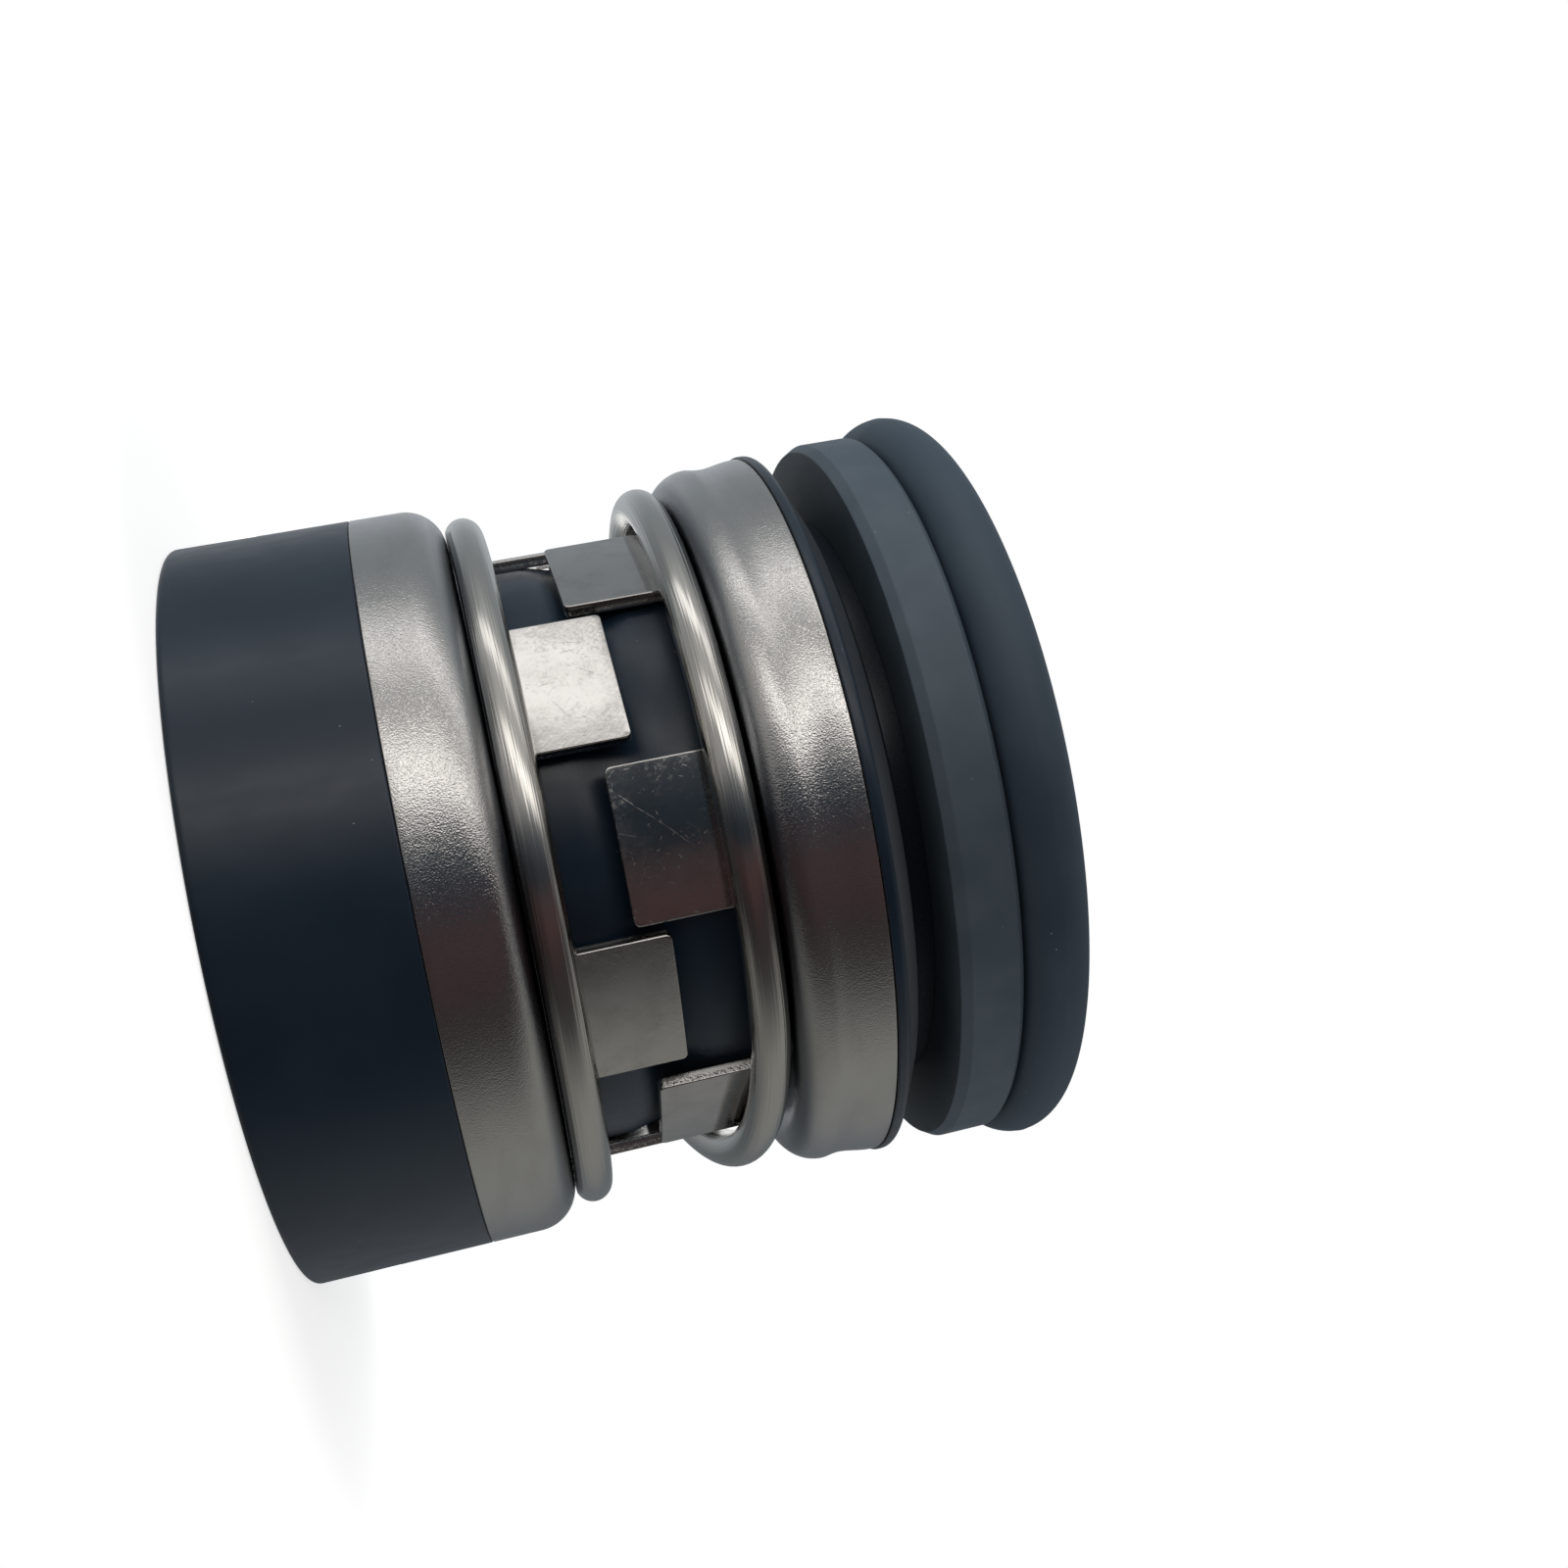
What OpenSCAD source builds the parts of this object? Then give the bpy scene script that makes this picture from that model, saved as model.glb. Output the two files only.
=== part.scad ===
// Mechanical seal for a pump shaft: a rubber bellows head with a coil spring
// between two tabbed steel shells, and a stationary seat ring with its O-ring.
// It stands on the flat end of the rubber tail, +Z runs along the shaft toward the seat,
// and the origin is the centre of the tail's end face. Lengths are in millimetres.

/* [Shaft] */
// Diameter of the shaft that the rubber tail grips
shaft_d = 40; // [30:0.5:60]

/* [Rubber bellows] */
// Length of the bare rubber tail, up to the edge of the drive band
tail_len = 13; // [8:0.5:25]
// Length of the bore that grips the shaft
grip_len = 15.5; // [8:0.5:16]
// Roundness of the tail's end edges
tail_edge_r = 0.5; // [0.2:0.1:1.5]
// Gap round the shaft inside the thin wall
wall_shaft_gap = 0.95; // [0.8:0.05:1.5]
// Thickness of the thin wall under the tabs
wall_t = 1.5; // [1:0.1:2.5]
// Depth of the single fold in the thin wall
fold_depth = 0.65; // [0.2:0.05:0.7]
// Length of the fold along the shaft
fold_len = 7; // [4:0.5:10]
// Rubber between the retainer's sheet and the back of the primary ring
cup_floor_t = 1.75; // [1:0.05:4]
// Length of the rubber rim that shows beyond the retainer
lip_rim_len = 0.75; // [0.6:0.05:2]
// Length of the sloping front of the rubber lip
lip_slope_len = 1.7; // [1:0.1:3]
// Roundness between the rim and the sloping front
lip_round_r = 0.6; // [0.2:0.1:0.8]
// Width of the flat rubber land round the primary ring
lip_land_w = 0.3; // [0.1:0.05:1]

/* [Steel shells] */
// Thickness of the stamped sheet
sheet_t = 0.9; // [0.5:0.05:1.2]
// How far the shells stand out beyond the spring, as a radius
rim_overhang = 1.15; // [0.8:0.05:2]
// Length of the drive band's skirt and shoulder
band_len = 6.7; // [5:0.1:12]
// Outer radius of the drive band's shoulder
band_shoulder_r = 3; // [2:0.1:3.5]
// Length of the retainer's skirt and shoulder
retainer_len = 6.9; // [5.5:0.1:12]
// Outer radius of the retainer's shoulder
retainer_shoulder_r = 2.75; // [2:0.05:3.2]
// How far the retainer's shoulder lies inside the head's outer radius
retainer_inset = 0.35; // [0.2:0.05:0.6]
// Depth of the shallow valley behind the retainer's shoulder
valley_depth = 0.2; // [0:0.05:0.3]
// How far the retainer's free edge flares out beyond its shoulder
edge_flare = 0.2; // [0:0.05:0.3]

/* [Interlocking tabs] */
// Tabs on each shell
tab_count = 6; // [3:1:10]
// Length of a tab, from the shell's end face to its tip
tab_len = 9.2; // [6:0.1:10]
// Free gap between a tab and its neighbour on the other shell
tab_gap = 1.4; // [0.6:0.1:3]
// Radius of the tab's tip corners
tab_corner_r = 0.45; // [0.2:0.05:1.5]
// Length of the closed neck between the end face and the slots
neck_len = 1.1; // [0.6:0.1:2]
// Inside radius of the bend between the end face and the neck
neck_bend_r = 0.3; // [0.1:0.05:0.5]

/* [Spring] */
// Diameter of the wire
wire_d = 2.8; // [2:0.1:3.2]
// Free length of the spring over its ground ends
spring_len = 16; // [14:0.25:22]
// Depth ground off each end turn to seat it flat
grind_depth = 0.1; // [0.05:0.01:0.2]
// Angle over which the wire lies flat against each shell, from its tip to where it leaves
end_turn_angle = 260; // [240:5:280]
// Angle over which the wire crosses from one end turn to the other
cross_angle = 215; // [190:5:220]
// Direction in which the wire leaves the upper end turn
cross_start = -65; // [-180:5:180]

/* [Primary ring] */
// Gap between the shaft and the bore of the ring
ring_shaft_gap = 0.6; // [0.3:0.05:1]
// Width of the raised sealing face
face_w = 1.6; // [1:0.1:2.5]
// Height of the raised nose
nose_len = 1.8; // [1:0.1:4]
// Step from the nose out to the body of the ring, as a radius
nose_step = 2.1; // [1:0.1:2.1]
// Length of the ring's body
ring_body_len = 6.95; // [6:0.05:12]
// Width of the chamfers on the ring's body
ring_chamfer = 0.35; // [0.1:0.05:0.8]

/* [Seat ring] */
// Gap between the shaft and the bore of the seat
seat_shaft_gap = 1; // [0.5:0.1:2]
// Wall of the seat's neck, inside the O-ring
seat_neck_t = 3.1; // [2:0.1:5]
// Length of the seat, from its lapped face to its back
seat_len = 10; // [9.5:0.25:16]
// Width of the seat's rim in front of the O-ring
seat_rim_len = 4.5; // [3:0.1:6]
// How far the seat's rim lies inside the outer radius of the O-ring
seat_rim_inset = 1.05; // [0.5:0.05:2]
// Depth of the rim's front chamfer toward the shaft
seat_chamfer_in = 0.45; // [0.2:0.05:1]
// Length of the rim's front chamfer along the shaft
seat_chamfer_len = 0.75; // [0.3:0.05:1.2]
// Width of the rim's back chamfer
seat_back_chamfer = 0.35; // [0.1:0.05:0.8]
// Lead-in at the end of the neck, for the O-ring
neck_lead_in = 0.8; // [0.3:0.1:1.5]
// Chamfer at the back mouths of the hard bores
bore_chamfer = 0.3; // [0.1:0.05:0.5]

/* [O-ring] */
// Thickness of the round section of the O-ring
o_ring_d = 5; // [3:0.1:5]

/* [Clearances] */
// Assembly gap between nested rubber, sheet and rings
nest_gap = 0.05; // [0.02:0.01:0.1]
// Gap between the thin rubber wall and the tabs
tab_wall_gap = 0.25; // [0.15:0.05:0.5]
// Gap between the tabs and the inside of the spring
tab_spring_gap = 0.45; // [0.3:0.05:1]

/* [Hidden] */
$fn = 96;
arc_steps = 8;
bend_steps = 4;
fold_steps = 16;
valley_steps = 10;
wire_sides = 16;
wire_step = 6;
cut_margin = 1;

rubber_black = [0.16, 0.18, 0.21];
steel = [0.74, 0.73, 0.71];
wire_steel = [0.82, 0.81, 0.79];
carbon_black = [0.2, 0.22, 0.25];
carbide_grey = [0.33, 0.36, 0.39];

// Radii, from the shaft outward
shaft_r = shaft_d / 2;
wall_in_r = shaft_r + wall_shaft_gap;
wall_out_r = wall_in_r + wall_t;
tab_in_r = wall_out_r + tab_wall_gap;
tab_out_r = tab_in_r + sheet_t;
bend_centre_r = tab_out_r + neck_bend_r;
wire_r = wire_d / 2;
wire_angle = 2 * end_turn_angle + cross_angle;
coil_travel = spring_len - wire_d + 2 * grind_depth;
coil_r = tab_out_r + tab_spring_gap + wire_r;
head_r = coil_r + wire_r + rim_overhang;
retainer_r = head_r - retainer_inset;
rubber_under = sheet_t + nest_gap;

// Primary ring and the pocket that holds it
ring_bore_r = shaft_r + ring_shaft_gap;
nose_r = ring_bore_r + face_w;
ring_body_r = nose_r + nose_step;
pocket_r = ring_body_r + nest_gap;
lip_land_r = pocket_r + lip_land_w;

// Heights, from the tail upward
band_face_z = tail_len + band_len;
grip_top_z = min(grip_len, band_face_z - band_shoulder_r);
spring_low_z = band_face_z + nest_gap;
retainer_face_z = spring_low_z + spring_len + nest_gap;
retainer_edge_z = retainer_face_z + retainer_len;
wall_mid_z = (band_face_z + retainer_face_z) / 2;
pocket_floor_z = retainer_face_z + rubber_under + cup_floor_t;
lip_foot_z = retainer_edge_z + nest_gap;
lip_rim_z = lip_foot_z + lip_rim_len;
lip_top_z = lip_rim_z + lip_slope_len;
ring_back_z = pocket_floor_z + nest_gap;
ring_step_z = ring_back_z + ring_body_len;
face_z = ring_step_z + nose_len;

// Seat ring and its O-ring
seat_bore_r = shaft_r + seat_shaft_gap;
seat_neck_r = seat_bore_r + seat_neck_t;
o_ring_r = o_ring_d / 2;
o_ring_centre_r = seat_neck_r + nest_gap + o_ring_r;
seat_rim_r = o_ring_centre_r + o_ring_r - seat_rim_inset;
seat_rim_z = face_z + seat_rim_len;
seat_back_z = face_z + seat_len;
o_ring_z = seat_rim_z + nest_gap + o_ring_r;

// One pitch is the angle from a tab to its neighbour on the other shell
tab_pitch = 180 / tab_count;
tab_w = 2 * tab_out_r * sin(tab_pitch / 2) - tab_gap;
tab_foot_x = tab_in_r * cos(tab_pitch / 2) - cut_margin;
retainer_turn = -90;
band_turn = retainer_turn + tab_pitch;

// Smooth step from 0 to 1
function ease(t) = t <= 0 ? 0 : t >= 1 ? 1 : t * t * (3 - 2 * t);

function reversed(points) = [for (i = [len(points) - 1 : -1 : 0]) points[i]];

function raised(points, z) = [for (p = points) p + [0, z]];

// The same outline upside down, with its z = 0 at the given height
function flipped(points, z) = [for (p = points) [p[0], z - p[1]]];

// Points of an arc round a centre given as [radius, height]
function arc_points(centre, r, from, to, steps = arc_steps) =
    [for (i = [0 : steps])
        let (a = from + (to - from) * i / steps)
        centre + r * [cos(a), sin(a)]];

// A shell's outline is written with its end face at z = 0 and its skirt below.
// The retainer's skirt has a shallow valley and a flared edge, and t runs down it from 0 to 1.
function skirt_r(t) = retainer_r - valley_depth * pow(sin(180 * pow(t, 0.7)), 2) + edge_flare * ease(t);

function skirt_points(depth) =
    [for (i = [0 : valley_steps])
        let (t = i / valley_steps)
        [skirt_r(t) - depth, -retainer_shoulder_r - t * (retainer_len - retainer_shoulder_r)]];

// Outline at a given depth below a shell's outer surface: shoulder, end face, and bend into the neck
function shell_end_points(outer_r, shoulder_r, depth) =
    concat(
        arc_points([outer_r - shoulder_r, -shoulder_r], shoulder_r - depth, 0, 90),
        arc_points([bend_centre_r, neck_bend_r], neck_bend_r + depth, 270, 180, bend_steps));

// Closed outline of a shell's sheet before its tabs are cut, from the points down its skirt
function shell_points(outer_r, shoulder_r, outer_skirt, inner_skirt) =
    concat(
        reversed(outer_skirt),
        shell_end_points(outer_r, shoulder_r, 0),
        [[tab_out_r, tab_len + cut_margin], [tab_in_r, tab_len + cut_margin]],
        reversed(shell_end_points(outer_r, shoulder_r, sheet_t)),
        inner_skirt);

// How far the thin wall dips toward the shaft at a given height
function fold_dip(z) =
    let (t = (z - wall_mid_z) / fold_len)
    abs(t) >= 0.5 ? 0 : fold_depth * (1 + cos(360 * t)) / 2;

// Points up the folded stretch of the thin wall, at one of its two radii
function fold_points(r) =
    [for (i = [0 : fold_steps])
        let (z = wall_mid_z + fold_len * (i / fold_steps - 0.5))
        [r - fold_dip(z), z]];

// Rounded corner between the rim and the sloping front of the rubber lip
function lip_corner_points() =
    let (slope = atan2(lip_slope_len, lip_land_r - head_r) - 90)
    arc_points([head_r - lip_round_r, lip_rim_z - lip_round_r * tan(slope / 2)], lip_round_r, 0, slope);

// Outside of the rubber, from the tail's end face up to the lip
function bellows_outside() =
    concat(
        [[shaft_r + tail_edge_r, 0]],
        arc_points([head_r - tail_edge_r, tail_edge_r], tail_edge_r, 270, 360),
        [[head_r, tail_len - nest_gap], [head_r - rubber_under, tail_len - nest_gap]],
        raised(shell_end_points(head_r, band_shoulder_r, rubber_under), band_face_z),
        [[wall_out_r, band_face_z + neck_len]],
        fold_points(wall_out_r),
        [[wall_out_r, retainer_face_z - neck_len]],
        flipped(reversed(shell_end_points(retainer_r, retainer_shoulder_r, rubber_under)), retainer_face_z),
        flipped(skirt_points(rubber_under), retainer_face_z),
        [[skirt_r(1) - rubber_under, lip_foot_z], [head_r, lip_foot_z]],
        lip_corner_points(),
        [[lip_land_r, lip_top_z]]);

// Inside of the rubber, from the ring's pocket down through the thin wall to the tail's bore
function bellows_inside() =
    concat(
        [[pocket_r, lip_top_z], [pocket_r, pocket_floor_z], [wall_in_r, pocket_floor_z]],
        reversed(fold_points(wall_in_r)),
        [[wall_in_r, grip_top_z + wall_shaft_gap], [shaft_r, grip_top_z], [shaft_r, tail_edge_r]]);

module bellows() {
    color(rubber_black) rotate_extrude() polygon(concat(bellows_outside(), bellows_inside()));
}

// Flat outline of one tab, from its root at y = 0 to its rounded tip corners
module tab_outline() {
    corner_x = tab_w / 2 - tab_corner_r;
    corner_y = tab_len - tab_corner_r;
    polygon(concat(
        [[-tab_w / 2, 0], [tab_w / 2, 0]],
        arc_points([corner_x, corner_y], tab_corner_r, 0, 90),
        arc_points([-corner_x, corner_y], tab_corner_r, 90, 180)));
}

// What the slots leave of a shell: everything below their roots, and the tabs above
module kept_by_slots(turn, skirt_len) {
    translate([0, 0, -skirt_len - cut_margin])
        cylinder(h = skirt_len + cut_margin + neck_len, r = head_r + cut_margin);
    for (i = [0 : tab_count - 1])
        rotate([0, 0, turn + 2 * tab_pitch * i])
            translate([tab_foot_x, 0, 0])
                rotate([90, 0, 90])
                    linear_extrude(head_r + cut_margin - tab_foot_x) tab_outline();
}

module tabbed_shell(points, turn, skirt_len) {
    intersection() {
        rotate_extrude() polygon(points);
        kept_by_slots(turn, skirt_len);
    }
}

module drive_band() {
    color(steel)
        translate([0, 0, band_face_z])
            tabbed_shell(
                shell_points(head_r, band_shoulder_r, [[head_r, -band_len]], [[head_r - sheet_t, -band_len]]),
                band_turn, band_len);
}

module retainer() {
    color(steel)
        translate([0, 0, retainer_face_z])
            mirror([0, 0, 1])
                tabbed_shell(
                    shell_points(retainer_r, retainer_shoulder_r, skirt_points(0), skirt_points(sheet_t)),
                    retainer_turn, retainer_len);
}

// How far the wire has crossed from the upper end turn, at an angle measured from its upper tip
function crossed(a) = coil_travel * ease((a - end_turn_angle) / cross_angle);

function wire_point(a) =
    let (
        turn = cross_start - end_turn_angle + a,
        low_z = spring_low_z + wire_r - grind_depth)
    [coil_r * cos(turn), coil_r * sin(turn), low_z + coil_travel - crossed(a)];

// One ring of points round the wire, square to its run
function wire_ring(a) =
    let (
        run = wire_point(a + 1) - wire_point(a - 1),
        outward = [wire_point(a)[0], wire_point(a)[1], 0] / coil_r,
        side = cross(run, outward) / norm(cross(run, outward)))
    [for (j = [0 : wire_sides - 1])
        let (t = 360 * (j + 0.5) / wire_sides)
        wire_point(a) + wire_r * (cos(t) * outward + sin(t) * side)];

module spring() {
    steps = ceil(wire_angle / wire_step);
    points = [for (i = [0 : steps]) each wire_ring(wire_angle * i / steps)];
    walls = [for (i = [0 : steps - 1], j = [0 : wire_sides - 1])
        let (k = (j + 1) % wire_sides, low = i * wire_sides, high = low + wire_sides)
        [low + j, low + k, high + k, high + j]];
    first_cap = [for (j = [wire_sides - 1 : -1 : 0]) j];
    last_cap = [for (j = [0 : wire_sides - 1]) steps * wire_sides + j];
    color(wire_steel)
        intersection() {
            polyhedron(points, concat(walls, [first_cap, last_cap]), convexity = 6);
            translate([0, 0, spring_low_z]) cylinder(h = spring_len, r = head_r);
        }
}

module primary_ring() {
    color(carbon_black)
        rotate_extrude()
            polygon([
                [ring_bore_r + bore_chamfer, ring_back_z],
                [ring_body_r - ring_chamfer, ring_back_z],
                [ring_body_r, ring_back_z + ring_chamfer],
                [ring_body_r, ring_step_z - ring_chamfer],
                [ring_body_r - ring_chamfer, ring_step_z],
                [nose_r, ring_step_z],
                [nose_r, face_z],
                [ring_bore_r, face_z],
                [ring_bore_r, ring_back_z + bore_chamfer]]);
}

module seat_ring() {
    color(carbide_grey)
        rotate_extrude()
            polygon([
                [seat_bore_r, face_z],
                [seat_rim_r - seat_chamfer_in, face_z],
                [seat_rim_r, face_z + seat_chamfer_len],
                [seat_rim_r, seat_rim_z - seat_back_chamfer],
                [seat_rim_r - seat_back_chamfer, seat_rim_z],
                [seat_neck_r, seat_rim_z],
                [seat_neck_r, seat_back_z - neck_lead_in],
                [seat_neck_r - neck_lead_in / 2, seat_back_z],
                [seat_bore_r + bore_chamfer, seat_back_z],
                [seat_bore_r, seat_back_z - bore_chamfer]]);
}

module seat_o_ring() {
    color(rubber_black)
        translate([0, 0, o_ring_z])
            rotate_extrude()
                translate([o_ring_centre_r, 0]) circle(r = o_ring_r);
}

bellows();
drive_band();
spring();
retainer();
primary_ring();
seat_ring();
seat_o_ring();
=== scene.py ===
"""A mechanical seal for a pump shaft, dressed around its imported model.

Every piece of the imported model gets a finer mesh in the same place: the rubber bellows, two stamped
shells with interlocking tabs, the ground coil spring, the sealing ring, the seat and its O-ring.
Sizes are in millimetres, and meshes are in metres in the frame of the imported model.
"""

from math import acos, atan2, cos, hypot, pi, radians, sin, sqrt, tan

import bmesh
import bpy
from mathutils import Matrix, Vector


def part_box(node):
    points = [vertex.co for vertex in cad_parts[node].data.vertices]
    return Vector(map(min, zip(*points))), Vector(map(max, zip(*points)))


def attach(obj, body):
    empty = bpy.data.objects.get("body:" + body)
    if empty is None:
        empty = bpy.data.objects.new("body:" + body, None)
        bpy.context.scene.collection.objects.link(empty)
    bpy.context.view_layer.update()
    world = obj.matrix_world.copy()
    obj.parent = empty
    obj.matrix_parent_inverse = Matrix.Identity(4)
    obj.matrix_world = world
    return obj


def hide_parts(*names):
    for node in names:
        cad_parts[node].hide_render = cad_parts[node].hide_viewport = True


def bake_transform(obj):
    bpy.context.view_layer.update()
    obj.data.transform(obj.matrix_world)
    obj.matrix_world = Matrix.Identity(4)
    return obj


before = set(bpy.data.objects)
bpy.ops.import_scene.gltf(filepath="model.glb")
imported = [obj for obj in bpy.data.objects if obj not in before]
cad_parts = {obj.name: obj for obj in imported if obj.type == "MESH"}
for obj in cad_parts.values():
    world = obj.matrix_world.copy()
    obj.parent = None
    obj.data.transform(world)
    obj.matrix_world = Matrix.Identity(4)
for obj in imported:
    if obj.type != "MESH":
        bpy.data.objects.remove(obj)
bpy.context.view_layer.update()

MM = 0.001


def foot(node):
    """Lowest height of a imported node, in millimetres."""
    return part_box(node)[0].z / MM


def head(node):
    """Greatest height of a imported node, in millimetres."""
    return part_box(node)[1].z / MM


# Radii from the shaft outward
SHAFT_R = 20.0
WALL_IN_R = 20.95
WALL_OUT_R = 22.45
TAB_IN_R = 22.7
TAB_OUT_R = 23.6
COIL_R = 25.45
RETAINER_R = 27.65
HEAD_R = 28.0

# Stamped shells
SHEET = 0.9
BAND_LEN = 6.7
BAND_SHOULDER_R = 3.0
RETAINER_LEN = 6.9
RETAINER_SHOULDER_R = 2.75
VALLEY_DEPTH = 0.2
VALLEY_SKEW = 0.7
EDGE_FLARE = 0.2
NECK_LEN = 1.1
BEND_R = 0.3
SHEARED_EDGE_R = 0.1
# Shares of the thickness that divide a sheared edge, and its torn strips, from the outer side
SHEAR_SHARES = (0.3, 0.5, 0.7)
TORN_STRIPS = (3, 4)
# How sharply a tab's wear falls off from its edge
WEAR_POWER = 5

# Tabs
TAB_COUNT = 6
TAB_PITCH = 360 / TAB_COUNT
TAB_W = 10.82
TAB_LEN = 9.2
TAB_CORNER_R = 0.45
TAB_MID_X = 23.42
TAB_FLATTEN_LEN = 1.6
RETAINER_TURN = -90.0
BAND_TURN = RETAINER_TURN + TAB_PITCH / 2
# How far each tab sits off its even place and how much its face is turned, both in degrees,
# and the radius to which it is curved
BAND_TAB_FORMS = (
    (-1.9, 4.5, 38), (0, 0, 60), (0.8, 0, 60), (-0.6, 0, 60), (1.5, 5.0, 60), (0, -4.0, 110))
RETAINER_TAB_FORMS = (
    (0, 2.6, 50), (0, -1.2, 80), (0.5, 0, 60), (-0.7, 0, 60), (0.4, 0, 60), (1.2, 0, 60))

# Spring
WIRE_R = 1.4
GRIND_DEPTH = 0.1
END_TURN_ANGLE = 260.0
CROSS_ANGLE = 215.0
CROSS_START = -65.0
LEAST_CAP_ANGLE = 24.0

# Rubber
NEST_GAP = 0.05
TAIL_EDGE_R = 0.5
GRIP_LEN = 15.5
FOLD_DEPTH = 0.65
FOLD_LEN = 7.0
CUP_FLOOR = 2.7
LIP_RIM_LEN = 0.75
LIP_ROUND_R = 0.6
LIP_LAND_R = 24.65
POCKET_R = 24.35

# Primary ring, seat and O-ring
RING_BORE_R = 20.6
NOSE_R = 22.2
RING_BODY_R = 24.3
NOSE_LEN = 1.8
RING_CHAMFER = 0.35
SEAT_BORE_R = 21.0
SEAT_NECK_R = 24.1
SEAT_RIM_R = 28.1
SEAT_RIM_LEN = 4.5
SEAT_CHAMFER_IN = 0.45
SEAT_CHAMFER_LEN = 0.75
SEAT_BACK_CHAMFER = 0.35
NECK_LEAD_IN = 0.8
BORE_CHAMFER = 0.3
O_RING_R = 2.5
O_RING_CENTRE_R = 26.65
O_RING_FLASH = 0.03
O_RING_FLASH_SINE = 0.09

# Roundings of moulded and turned corners
SHARP_R = 0.05
CRISP_R = 0.08
THIN_R = 0.1
EASED_R = 0.12
NOSE_ROOT_R = 0.15
SOFT_R = 0.2
SEAT_CORNER_R = 0.25
FILLET_R = 0.3

# Heights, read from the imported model
BAND_EDGE_Z = foot("drive_band")
BAND_FACE_Z = BAND_EDGE_Z + BAND_LEN
SPRING_LOW_Z = foot("spring")
SPRING_TOP_Z = head("spring")
RETAINER_EDGE_Z = head("retainer")
RETAINER_FACE_Z = RETAINER_EDGE_Z - RETAINER_LEN
FOLD_MIDDLE_Z = (BAND_FACE_Z + RETAINER_FACE_Z) / 2
LIP_TOP_Z = head("bellows")
RING_BACK_Z = foot("primary_ring")
FACE_Z = head("primary_ring")
SEAT_BACK_Z = head("seat_ring")
O_RING_Z = (foot("seat_o_ring") + head("seat_o_ring")) / 2

# Mesh fineness: steps in degrees or millimetres, and counts
ARC_STEP = 12.0
STRAIGHT_STEP = 0.9
SUPPORT = 0.06
WIRE_STEP = 2.5
RING_SEGMENTS = 216
SHOULDER_STEPS = 16
HIDDEN_SHOULDER_STEPS = 8
BEND_STEPS = 6
BAND_SKIRT_STEPS = 6
RETAINER_SKIRT_STEPS = 24
NECK_SHARE = 0.6
TAB_FACE_STEPS = 12
TAB_SIDE_STEPS = 18
TAB_CORNER_STEPS = 6
SLOT_STEPS = 14
WIRE_CAP_STEPS = 10
WIRE_SIDE_STEPS = 14
FOLD_STEPS = 20
O_RING_STEPS = 72


# Outlines

def ease(t):
    """Smooth step from 0 to 1."""
    t = min(1.0, max(0.0, t))
    return t * t * (3 - 2 * t)


def arc(x, y, radius, start, end, steps):
    """Points of an arc round (x, y), from one angle in degrees to another."""
    angles = [radians(start + (end - start) * i / steps) for i in range(steps + 1)]
    return [(x + radius * cos(a), y + radius * sin(a)) for a in angles]


def rounded(corners):
    """Closed outline through (x, y, rounding) corners, with each rounding drawn as an arc."""
    outline = []
    for i, (x, y, r) in enumerate(corners):
        if r == 0:
            outline.append((x, y))
            continue
        corner = Vector((x, y))
        back = (Vector(corners[i - 1][:2]) - corner).normalized()
        on = (Vector(corners[(i + 1) % len(corners)][:2]) - corner).normalized()
        half = back.angle(on) / 2
        centre = corner + (back + on).normalized() * r / sin(half)
        first = corner + back * r / tan(half) - centre
        last = corner + on * r / tan(half) - centre
        start = atan2(first.y, first.x)
        sweep = (atan2(last.y, last.x) - start + pi) % (2 * pi) - pi
        steps = max(2, round(abs(sweep) / radians(ARC_STEP)))
        angles = [start + sweep * k / steps for k in range(steps + 1)]
        outline += [(centre.x + r * cos(a), centre.y + r * sin(a)) for a in angles]
    return outline


def filled(outline):
    """The same closed outline with its long stretches divided, first close beside their ends."""
    points = []
    for i, (x, y) in enumerate(outline):
        x2, y2 = outline[(i + 1) % len(outline)]
        length = hypot(x2 - x, y2 - y)
        points.append((x, y))
        if length < 4 * SUPPORT:
            continue
        steps = max(1, round((length - 2 * SUPPORT) / STRAIGHT_STEP))
        for k in range(steps + 1):
            t = (SUPPORT + (length - 2 * SUPPORT) * k / steps) / length
            points.append((x + (x2 - x) * t, y + (y2 - y) * t))
    return points


# Meshes

def finish_mesh(name, verts, faces, material_ids=None):
    """A smooth closed mesh object from vertices in millimetres."""
    mesh = bpy.data.meshes.new(name)
    mesh.from_pydata([(x * MM, y * MM, z * MM) for x, y, z in verts], [], faces)
    if material_ids:
        mesh.polygons.foreach_set("material_index", material_ids)
    shape = bmesh.new()
    shape.from_mesh(mesh)
    bmesh.ops.recalc_face_normals(shape, faces=shape.faces)
    shape.to_mesh(mesh)
    shape.free()
    mesh.polygons.foreach_set("use_smooth", [True] * len(mesh.polygons))
    obj = bpy.data.objects.new(name, mesh)
    bpy.context.scene.collection.objects.link(obj)
    return obj


def revolved(name, outline):
    """A ring turned from a closed outline of (radius, height) points."""
    outline = filled(outline)
    count = len(outline)
    turns = [2 * pi * i / RING_SEGMENTS for i in range(RING_SEGMENTS)]
    verts = [(r * cos(a), r * sin(a), z) for a in turns for r, z in outline]
    faces = []
    for i in range(RING_SEGMENTS):
        here, there = i * count, (i + 1) % RING_SEGMENTS * count
        for j in range(count):
            k = (j + 1) % count
            faces.append((here + j, there + j, there + k, here + k))
    return finish_mesh(name, verts, faces)


# Stamped shells

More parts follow.
